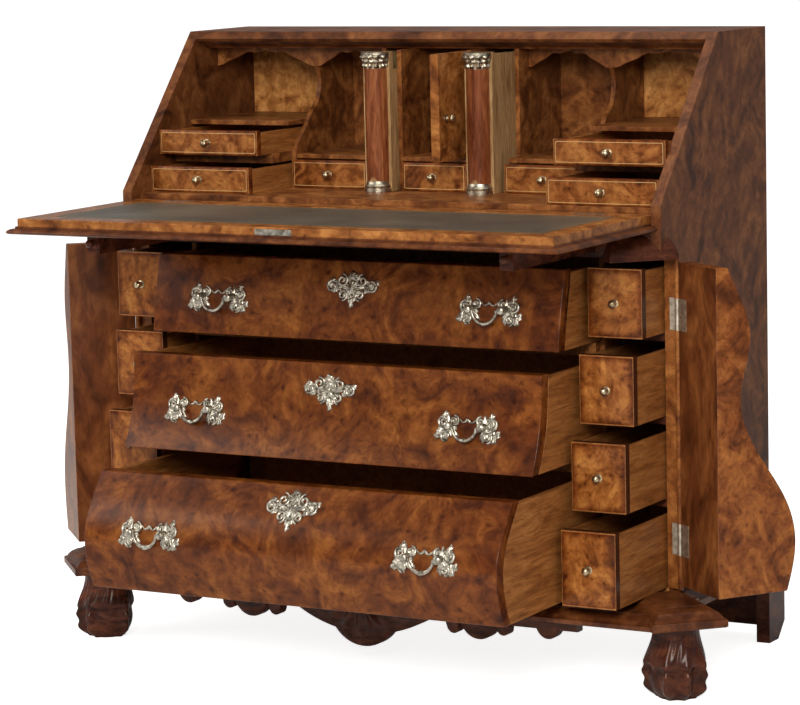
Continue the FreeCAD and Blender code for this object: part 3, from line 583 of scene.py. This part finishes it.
drawer_pulls = {}
for number in (1, 2, 3):
    body = f"wide_drawer_{number}"
    node = f"{body}_front"
    low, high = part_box(node)
    drawer_pulls[number] = -joints[f"{body}_slide"]["range_m"][0]
    z = np.linspace(low.z, high.z, bombe_rows)
    y = bombe_y(z) - drawer_pulls[number]
    section = np.column_stack([np.concatenate([y, y[::-1] + front_thickness]), np.concatenate([z, z[::-1]])])
    front = lengthwise(section, np.linspace(low.x, high.x, bombe_cols))
    piece(f"bombe_front_{number}", [front], drawer_burl, body, (node,), ease=front_easing)
    boards((f"{body}_box",), timber)

# Handles and escutcheons of the wide drawers: leafy openwork plates with swinging bails.
# Cast in brass and silvered, pinned to the bombe fronts; each bail hangs in two posts.
handle_x, rosette_half, escutcheon_heights = 0.258, 0.03, (0.669, 0.71, 0.822)
leaf_rows, leaf_cols, lobe_swell, tip_swell = 13, 96, 0.22, 0.12
crown_share, boss_share, boss_spread = 0.45, 0.3, 0.25
rib_share, ribs_per_lobe, rib_twist, rib_fall = 0.3, 3, 2.0, 6
rim_lift, rim_fall, back_lift = 0.0006, 8, 0.0001
scroll_rows, scroll_turn, scroll_tighten, scroll_bar, scroll_bed = 40, 3.0 * pi, 0.82, 0.0024, 0.6
bar_least, bar_swell, bar_start, bar_run = 0.55, 0.6, 0.15, 0.8
tube_sides, turned_sides = 16, 28
post_foot = ((0.0, 0.0), (0.0, 0.0062))
post_head = ((-0.006, 0.005), (-0.004, 0.0062), (0.003, 0.0062), (0.005, 0.003), (0.005, 0.0))
bridge_rows, bridge_up, bridge_dip, bridge_waves = 25, 0.01, 0.005, 1.5
bridge_bed, bridge_short, bridge_bar, bridge_knot, bridge_knot_half = 0.0014, 0.008, 0.0017, 0.0012, 0.2
bail_rows, bail_inset, bail_bar, bail_swell = 33, 0.0024, 0.0021, 0.0014
bail_knot, bail_knot_half = 0.0012, 0.16
upwards, bail_low = pi / 2, 1.5 * pi
# Leaves: across and up from the eye, size, lobes, turn at the right and left end, stretch, height, tip phase.
handle_leaves = ((0.003, -0.004, 0.015, 5, (0.6, -0.6), (1.0, 1.2), 0.006, 0.0),
                 (0.019, -0.014, 0.008, 3, (0.5, -0.5), (1.2, 1.3), 0.004, 1.0),
                 (0.012, 0.012, 0.007, 3, (1.2, 1.2), (1.0, 1.2), 0.004, 2.0))
middle_leaves = ((0.0, 0.0, 0.0165, 5, (upwards, upwards), (1.3, 0.9), 0.006, 0.0),
                 (0.0, 0.0175, 0.01, 3, (upwards, upwards), (1.4, 0.85), 0.005, 0.5),
                 (0.0, -0.0195, 0.008, 3, (-upwards, -upwards), (0.95, 1.4), 0.004, 0.5))
flank_leaves = ((0.037, 0.007, 0.0086, 3, (0.4, -0.4), (1.4, 0.85), 0.004, 1.5),
                (0.03, -0.002, 0.0072, 3, (2.0, -2.0), (1.3, 0.9), 0.004, 2.5))
# Scrolls: across and up from the eye, size, starting angle, way of turning.
handle_scrolls = ((0.014, 0.003, 0.0095, upwards, -1.0), (-0.006, 0.007, 0.0085, upwards, 1.0),
                  (0.008, -0.017, 0.0085, -upwards, 1.0))
flank_scrolls = ((0.019, 0.012, 0.0105, upwards, 1.0), (0.0375, 0.002, 0.0095, upwards, -1.0),
                 (0.016, -0.0115, 0.009, -upwards, -1.0))


def tube(path, radius):
    """A round bar along a smooth path: rings of the given radii stand square to the path, built on its
    tangent and the front-back direction."""
    tangent = np.gradient(path, axis=0)
    tangent /= np.linalg.norm(tangent, axis=1)[:, None]
    first = np.cross(tangent, (0, 1, 0))
    first /= np.linalg.norm(first, axis=1)[:, None]
    second = np.cross(tangent, first)
    a = round_turn(tube_sides)[None, :, None]
    return path[:, None] + radius[:, None, None] * (np.cos(a) * first[:, None] + np.sin(a) * second[:, None])


def turned(profile, centre, axis=(0, -1, 0), across=(1, 0, 0)):
    """A turned piece: (distance along the axis, radius) points spun round the axis."""
    out, radius = np.array(profile, float).T
    a = round_turn(turned_sides)[None, :, None]
    spokes = np.cos(a) * np.array(across) + np.sin(a) * np.array((0, 0, 1))
    return np.array(centre) + out[:, None, None] * np.array(axis) + radius[:, None, None] * spokes


def leaf_plate(centre, end, pull, size, lobe_count, turns, stretch, height, phase):
    """A leafy boss in polar form, laid on the bombe front: its rim swells into lobes and tips, its height
    falls from a round middle to the rim, and ribs follow the lobes. The back lies on the front."""
    r = np.linspace(0, 1, leaf_rows)[:, None]
    a = round_turn(leaf_cols)[None, :]
    lobed = lobe_count * (a - (turns[0] if end > 0 else turns[1]))
    rim = size * (1 + lobe_swell * np.cos(lobed) + tip_swell * np.cos((2 * lobe_count + 1) * a + phase))
    x = centre[0] + stretch[0] * rim * r * np.cos(a)
    z = centre[1] + stretch[1] * rim * r * np.sin(a)
    crown = crown_share * np.sqrt(np.clip(1 - r**2, 0, 1)) + boss_share * np.exp(-(r / boss_spread)**2)
    ribs = rib_share * (0.5 + 0.5 * np.cos(lobed * ribs_per_lobe + rib_twist * r)) * r * (1 - r**rib_fall)
    lift = height * (crown + ribs) + rim_lift * (1 - r**rim_fall)
    y = bombe_y(z) - pull
    return np.concatenate([np.stack([x, y - lift, z], -1), np.stack([x, y - back_lift, z], -1)[::-1]])


def scroll(centre, end, pull, size, start, way):
    """A C-scroll lying on the bombe front: a spiral whose radius falls evenly over one and a half turns, its
    bar swelling near the middle and thinnest at the eye."""
    t = np.linspace(0, 1, scroll_rows)
    angle = start + end * way * scroll_turn * t
    radius = size * (1 - scroll_tighten * t)
    x, z = centre[0] + radius * np.cos(angle), centre[1] + radius * np.sin(angle)
    y = bombe_y(z) - pull - scroll_bed * scroll_bar
    bar = scroll_bar * (bar_least + bar_swell * np.sin(pi * (bar_start + bar_run * t)))
    return tube(np.stack([x, y, z], -1), bar)


def leafwork(eye, end, leaves, scrolls, pull):
    """The listed leaves and scrolls set out round an eye, mirrored left to right where end is minus one."""
    cast = [leaf_plate((eye[0] + end * x, eye[1] + z), end, pull, *leaf) for x, z, *leaf in leaves]
    return cast + [scroll((eye[0] + end * x, eye[1] + z), end, pull, *curl) for x, z, *curl in scrolls]


for number in (1, 2, 3):
    body = f"wide_drawer_{number}"
    pull = drawer_pulls[number]
    low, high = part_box(f"{body}_front")
    eye = (0.0, low.z + escutcheon_heights[number - 1] * (high.z - low.z))
    castings = leafwork(eye, 1.0, middle_leaves, (), pull)
    for end in (1.0, -1.0):
        castings += leafwork(eye, end, flank_leaves, flank_scrolls, pull)
    for side, sign in sides:
        node = f"{body}_bail_{side}"
        swing = joints[f"{node}_swing"]["pos_m"]
        front_y = bombe_y(swing[2]) - pull
        post = post_foot + tuple((front_y - swing[1] + ahead, radius) for ahead, radius in post_head)
        for end in (1.0, -1.0):
            eye = (sign * handle_x + end * rosette_half, swing[2])
            castings += leafwork(eye, end, handle_leaves, handle_scrolls, pull)
            castings.append(turned(post, (eye[0], front_y, eye[1])))
        s = np.linspace(-1, 1, bridge_rows)
        bridge_z = swing[2] + bridge_up - bridge_dip * np.abs(np.sin(bridge_waves * pi * s))
        bridge_x = sign * handle_x + (rosette_half - bridge_short) * s
        bridge = np.stack([bridge_x, bombe_y(bridge_z) - pull - bridge_bed, bridge_z], -1)
        castings.append(tube(bridge, bridge_bar + bridge_knot * np.exp(-(s / bridge_knot_half)**2)))
        low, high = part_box(node)
        bail_half, bail_drop = (high.x - low.x) / 2 - bail_inset, swing[2] - low.z - bail_inset
        a = np.linspace(pi, 2 * pi, bail_rows)
        bail = np.stack([sign * handle_x + bail_half * np.cos(a), np.full_like(a, swing[1]),
                         swing[2] + bail_drop * np.sin(a)], -1)
        bar = bail_bar + bail_swell * np.sin(a)**2 + bail_knot * np.exp(-((a - bail_low) / bail_knot_half)**2)
        piece(f"bail_{number}_{side}", [tube(bail, bar)], silver, node, (node,))
    piece(f"castings_{number}", castings, silver, body, (f"{body}_plates",))

# Small drawers behind the pilasters: four on each side, with flat burl fronts and brass knobs.
# Plain timber boxes; the burl of the fronts darkens softly to a dark edge as painted shade, and the knobs are
# screwed in.
knob_reach, front_grid = 0.016, 30
knob_profile = ((0.0, 0.0), (0.0, 0.0068), (0.0012, 0.0068), (0.002, 0.0042), (0.0055, 0.0034),
                (0.008, 0.005), (0.0105, 0.0067), (0.013, 0.0066), (0.0155, 0.0045), (0.0168, 0.0015),
                (0.017, 0.0))
veneer_cover, veneer_proud, veneer_round, crossband_and_shade_full = 0.00025, 0.0006, 0.0012, 0.35
corner_front_thickness = 0.0145
brass = metal("aged_brass", (0.22, 0.16, 0.09), (0.58, 0.48, 0.32), 0.32)


def banded_and_shaded(name, dark, mid, light, figure, band, crossband_and_shade_colour, line_at, line_width, line_colour):
    """Burl darkened along its edges over the width of the band, a real crossband on some fronts and painted
    shade on others, with a fine line; both are read from the distance to the edge."""
    material = wood(name, dark, mid, light, figure, eyes=0.75, gloss=0.27)
    tree = material.node_tree
    shader = tree.nodes["Principled BSDF"]
    ground = shader.inputs["Base Color"].links[0].from_socket
    share = add_node(tree, "Math", {0: edge_of(tree), 1: band}, "DIVIDE").outputs[0]
    rim = ramp_of(tree, share, ((0.0, crossband_and_shade_colour), (crossband_and_shade_full, crossband_and_shade_colour), (1.0, white)))
    colour = mixed(tree, "MULTIPLY", 1.0, ground, rim)
    set_inputs(tree, shader, {"Base Color": lined(tree, colour, line_at, line_width, line_colour)})
    return material


def small_drawer(node, burl, thickness, bow):
    """Dress a small drawer. A grid is laid over its front, bowed by a parabola in x and turned back at the
    rim, and carries the distance to the nearest edge. The knob is at its middle."""
    boards((node,), timber)
    low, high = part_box(node)
    middle = (low + high) / 2
    front_y = low.y + knob_reach
    half_x, half_z = (high.x - low.x) / 2 + veneer_cover, (high.z - low.z) / 2 + veneer_cover
    u = np.linspace(-1, 1, 2 * front_grid)[:, None] + np.zeros(front_grid)
    w = np.linspace(-1, 1, front_grid) + np.zeros((2 * front_grid, 1))
    x, z = middle.x + half_x * u, middle.z + half_z * w
    gap = np.minimum(half_x * (1 - np.abs(u)), half_z * (1 - np.abs(w)))
    y = front_y - veneer_proud - bow * (1 - u**2) + veneer_round * np.exp(-gap / veneer_round)
    face = np.stack([x, y, z], -1)
    back = np.stack([x, np.full_like(x, front_y + thickness), z], -1)[:, ::-1]
    piece(node.replace("drawer", "front"), [np.concatenate([face, back], 1)], burl, node,
          edge=np.concatenate([gap, np.zeros_like(gap)], 1))
    knob = turned(knob_profile, (middle.x, front_y - bow, middle.z))
    piece(node.replace("drawer", "knob"), [knob], brass, node)


# Painted shade: the corner fronts darken over their outer 12 mm to a dark line at the rim, for the shadow
# round the small drawers.
corner_burl_edge_shaded = banded_and_shaded("corner_burl_edge_shaded", (0.12, 0.033, 0.008), (0.3, 0.098, 0.02), (0.47, 0.19, 0.045), 9.0,
                     band=0.012, crossband_and_shade_colour=(0.5, 0.36, 0.29),
                     line_at=0.0, line_width=0.0038, line_colour=(0.05, 0.015, 0.006))
for side in ("right", "left"):
    for level in (1, 2, 3, 4):
        small_drawer(f"corner_drawer_{side}_{level}", corner_burl_edge_shaded, corner_front_thickness, bow=0.0)

# Desk drawers: low drawers in the fitted interior, with bowed fronts and small brass knobs.
# Burl fronts with a fine pale string let in near the edge, on thin timber boxes.
desk_front_thickness, desk_bow, centre_bow = 0.0125, 0.0025, 0.0035
string_burl = banded_and_shaded("string_burl", (0.11, 0.03, 0.008), (0.26, 0.085, 0.02), (0.42, 0.17, 0.045), 11.0,
                     band=0.0036, crossband_and_shade_colour=(0.6, 0.42, 0.34),
                     line_at=0.0044, line_width=0.0009, line_colour=(0.55, 0.36, 0.16))
for label in ("left_lower", "left_upper", "right_lower", "right_upper", "left_middle", "right_middle"):
    small_drawer(f"desk_drawer_{label}", string_burl, desk_front_thickness, desk_bow)
small_drawer("desk_drawer_centre", string_burl, desk_front_thickness, centre_bow)

# Document slides: two hidden boxes beside the middle door, each fronted by a half column.
# Reddish turned columns, halved and glued to the slides, with gilt-silver leaf capitals and moulded bases.
column_radius, column_swell, column_reach, column_set, column_cols = 0.0204, 0.0006, 0.0256, 0.0206, 49
base_stations = ((0.0, 0.0252), (0.022, 0.0252), (0.026, 0.0236), (0.04, 0.0245), (0.052, 0.0228),
                 (0.06, 0.0216), (0.075, 0.0212))
shaft_rows, capital_rows, capital_start, capital_end = 20, 24, 0.885, 0.982
neck_radius, bell_flare, bell_power, bell_swell, bell_swells = 0.0208, 0.005, 1.5, 0.0016, 3
leaf_ripple, leaf_tiers, leaves_round, abacus_radius = 0.1, 2, 12, 0.0262


def half_round(box, stations, ripple=0.0, waves=1):
    """Half a turned shaft in front of a slide's box: radius by share of its height from the stations, with a
    ripple of leaves round it, kept inside column_reach to either side."""
    share, radius = np.array(stations, float).T[:, :, None]
    a = np.linspace(pi, 2 * pi, column_cols)[None, :]
    r = radius * (1 + np.reshape(ripple, (-1, 1)) * np.cos(waves * a))
    x = (box[0].x + box[1].x) / 2 + np.clip(r * np.cos(a), -column_reach, column_reach)
    y = box[0].y + column_set + r * np.sin(a)
    return np.stack([x, y, box[0].z + (box[1].z - box[0].z) * share + 0.0 * a], -1)


column_red = wood(
    "column_mahogany", (0.11, 0.026, 0.01), (0.22, 0.062, 0.022), (0.34, 0.12, 0.045), 4.0,
    stretch=(6.0, 6.0, 0.7), gloss=0.24)
# The slides' timber is pale, and lightened further as painted light, for their sides lit beside the columns.
pale_lit_timber = wood(
    "slide_timber", (0.28, 0.15, 0.06), (0.42, 0.25, 0.11), (0.52, 0.33, 0.16), 3.0,
    stretch=(9.0, 9.0, 1.0), gloss=0.5)
gilt = metal("column_gilt", (0.2, 0.17, 0.12), (0.62, 0.56, 0.45), 0.36)
shaft_share = np.linspace(base_stations[-1][0], capital_start, shaft_rows)
shaft_stations = np.column_stack([shaft_share, column_radius + column_swell * np.sin(pi * shaft_share)])
up_bell = np.linspace(0, 1, capital_rows)
bell_radius = neck_radius + bell_flare * up_bell**bell_power
bell_radius += bell_swell * np.sin(bell_swells * pi * up_bell)**2
bell_stations = np.column_stack([capital_start + (capital_end - capital_start) * up_bell, bell_radius])
bell_leaves = leaf_ripple * np.abs(np.sin(leaf_tiers * pi * up_bell))
abacus_stations = ((capital_end, abacus_radius), (1.0, abacus_radius))
for side in ("right", "left"):
    node = f"document_slide_{side}"
    boards((node,), pale_lit_timber)
    slide_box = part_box(node)
    piece(f"half_column_{side}", [half_round(slide_box, shaft_stations)], column_red, node)
    gilding = [half_round(slide_box, base_stations), half_round(slide_box, abacus_stations),
               half_round(slide_box, bell_stations, bell_leaves, leaves_round)]
    piece(f"column_gilding_{side}", gilding, gilt, node)

# Middle door: the small cupboard door between the columns, standing open.
# A burl panel with a brass knob, hung on its right edge.
knob_from_edge, knob_below_middle = 0.024, 0.018
boards(("prospect_door",), flap_burl)
low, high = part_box("prospect_door")
knob_centre = (high.x - knob_reach, low.y + knob_from_edge, (low.z + high.z) / 2 - knob_below_middle)
door_knob = turned(knob_profile, knob_centre, axis=(1, 0, 0), across=(0, 1, 0))
piece("door_knob", [door_knob], brass, "prospect_door")

# Valances and cornice: the shaped boards at the tops of the pigeonholes, under a narrow moulding.
# Thin veneered boards fretted to ogee curves, glued between the partitions; the cornice is run in one length.
cornice_rise, cornice_run = 0.012, 0.051
cornice_profile = ((0.0, 0.0), (0.037, 0.0), (0.038, 0.2), (0.042, 0.35), (0.046, 0.62), (0.047, 0.7),
                   (cornice_run, 0.72), (cornice_run, 1.0), (0.0, 1.0))
valance_cols, valance_lap, valance_thickness, valance_easing = 81, 0.001, 0.008, 0.0008
valance_least, valance_drop, ogee_power = 0.01, 0.034, 1.6
scallop_depth, scallop_waves = 0.004, 2.5
cornice_low, cornice_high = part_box("valances_and_cornice")
cornice_base = cornice_high.z - cornice_rise
out, share = np.array(cornice_profile).T
cornice_section = np.column_stack([cornice_low.y + cornice_run - out, cornice_base + cornice_rise * share])
piece("cornice_strip", [lengthwise(cornice_section, (cornice_low.x, cornice_high.x))], moulding_wood,
      "carcass", ("valances_and_cornice",))
s = np.linspace(-1, 1, valance_cols)
ogee = 0.5 - 0.5 * np.cos(pi * np.abs(s)**ogee_power)
scallops = scallop_depth * np.cos(scallop_waves * pi * s)**2 * (1 - s**2)
fret_z = cornice_base - (valance_least + (valance_drop - valance_least) * ogee - scallops)
top_z = np.full_like(s, cornice_base)
valance_back = np.full_like(s, cornice_high.y)
valance_front = valance_back - valance_thickness
valance_corners = ((valance_front, top_z), (valance_front, fret_z), (valance_back, fret_z),
                   (valance_back, top_z))
valances = []
for drawer_below in ("desk_drawer_right_middle", "desk_drawer_right_lower"):
    low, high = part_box(drawer_below)
    x = (low.x + high.x) / 2 + ((high.x - low.x) / 2 + valance_lap) * s
    valance = np.stack([np.column_stack([x, y, z]) for y, z in valance_corners], 1)
    valances += [valance, valance * mirror]
piece("fretted_valances", valances, inner_veneer, "carcass", ease=valance_easing)

# Desk lining: the veneered panels at the back of the outer pigeonholes, seen through their openings.
# Bright burl laid on the inside of the back board and butted between floor and top; its brightness is painted
# light, for the lit backs of the outer bays.
lining_proud, lining_sunk = 0.0006, 0.0002
# Painted light: a burl much lighter than the interior veneer.
lit_lining_burl = wood(
    "lit_lining_burl", (0.2, 0.065, 0.016), (0.46, 0.185, 0.048), (0.66, 0.32, 0.1), 9.0, eyes=0.7, gloss=0.45)
lining_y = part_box("back_panel")[0].y
desk_floor_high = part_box("desk_floor")[1]
panel_plan = plan_box(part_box("desk_partitions")[1].x, desk_floor_high.x, lining_y - lining_proud,
                      lining_y + lining_sunk)
panel = upright(panel_plan, desk_floor_high.z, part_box("top_board")[0].z)
piece("desk_lit_lining", [panel, panel * mirror], lit_lining_burl, "carcass")

# Loper knobs: small pulls on the front ends of the two slides that carry the flap.
# Turned from dark mahogany, with a pin glued into each end; the dark wood also stands in as painted shade,
# for the shadow under the flap.
loper_knob_reach = 0.012
for node in ("loper_right", "loper_left"):
    low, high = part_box(node)
    knob_centre = ((low.x + high.x) / 2, low.y + loper_knob_reach, (low.z + high.z) / 2)
    piece(node.replace("loper", "loper_knob"), [turned(knob_profile, knob_centre)], dark_wood, node)

# Studio: a wide pale floor, three soft lamps, a white sky and the camera, which was fitted to the photograph.
# The floor is matt paint that glows for the camera alone, so it shows near white without lighting the chest.
floor_reach, floor_grey, floor_gloss, floor_glow = 60.0, 0.9, 0.9, 0.85
floor_paint, tree, shader = new_material("floor_paint")
seen = add_node(tree, "LightPath", {}).outputs["Is Camera Ray"]
glow = add_node(tree, "Math", {0: seen, 1: floor_glow}, "MULTIPLY").outputs[0]
set_inputs(tree, shader, {"Base Color": (floor_grey,) * 3 + (1.0,), "Roughness": floor_gloss,
                          "Emission Color": (*white, 1.0), "Emission Strength": glow})
floor = bpy.data.objects.new("floor", bpy.data.meshes.new("floor"))
floor_plan = plan_box(-floor_reach, floor_reach, -floor_reach, floor_reach)
floor.data.from_pydata(np.column_stack([floor_plan, np.zeros(4)]).tolist(), [], [(0, 1, 2, 3)])
floor.data.materials.append(floor_paint)
bpy.context.scene.collection.objects.link(floor)


def set_up(stand, right, up, back, place):
    """Put a camera or lamp in the scene at place, with its own axes pointing right, up and back."""
    turn = np.eye(4)
    turn[:3] = np.column_stack([right, up, back, place])
    stand.matrix_world = Matrix(turn.tolist())
    bpy.context.scene.collection.objects.link(stand)


camera_place = (2.7213, slant_foot_y - 4.7065, 1.2892)
camera_yaw, camera_pitch, camera_roll = 0.519, 0.14, -0.024
focal_pixels, image_width, sensor_width = 3279.6, 800, 36.0
camera = bpy.data.objects.new("camera", bpy.data.cameras.new("camera"))
camera.data.sensor_width = sensor_width
camera.data.lens = focal_pixels / image_width * sensor_width
forward = np.array([-sin(camera_yaw) * cos(camera_pitch),
                    cos(camera_yaw) * cos(camera_pitch), -sin(camera_pitch)])
level_right = np.array([cos(camera_yaw), sin(camera_yaw), 0.0])
level_up = np.cross(level_right, forward)
set_up(camera, cos(camera_roll) * level_right + sin(camera_roll) * level_up,
       cos(camera_roll) * level_up - sin(camera_roll) * level_right, -forward, camera_place)
bpy.context.scene.camera = camera
lamp_tint = (1.0, 0.955, 0.87)


def softbox(name, place, target, size, power):
    """A square area lamp at place, facing target."""
    lamp = bpy.data.lights.new(name, "AREA")
    lamp.size = size
    lamp.energy = power
    lamp.color = lamp_tint
    away = np.array(place) - np.array(target)
    away /= np.linalg.norm(away)
    right = np.cross((0, 0, 1), away)
    right /= np.linalg.norm(right)
    set_up(bpy.data.objects.new(name, lamp), right, np.cross(away, right), away, place)


softbox("key_lamp", place=(2.0, -4.7, 2.7), target=(0, 0, 0.6), size=1.8, power=215.0)
softbox("fill_lamp", place=(-3.4, -2.4, 2.4), target=(0, 0, 0.5), size=2.2, power=50.0)
softbox("top_lamp", place=(0.2, -0.4, 3.8), target=(0, 0, 0.5), size=2.4, power=45.0)
sky_strength = 0.3
world = bpy.data.worlds.new("studio")
bpy.context.scene.world = world
world.use_nodes = True
sky = world.node_tree.nodes["Background"]
set_inputs(world.node_tree, sky, {"Color": (*white, 1.0), "Strength": sky_strength})
bpy.context.scene.view_settings.view_transform = "Standard"
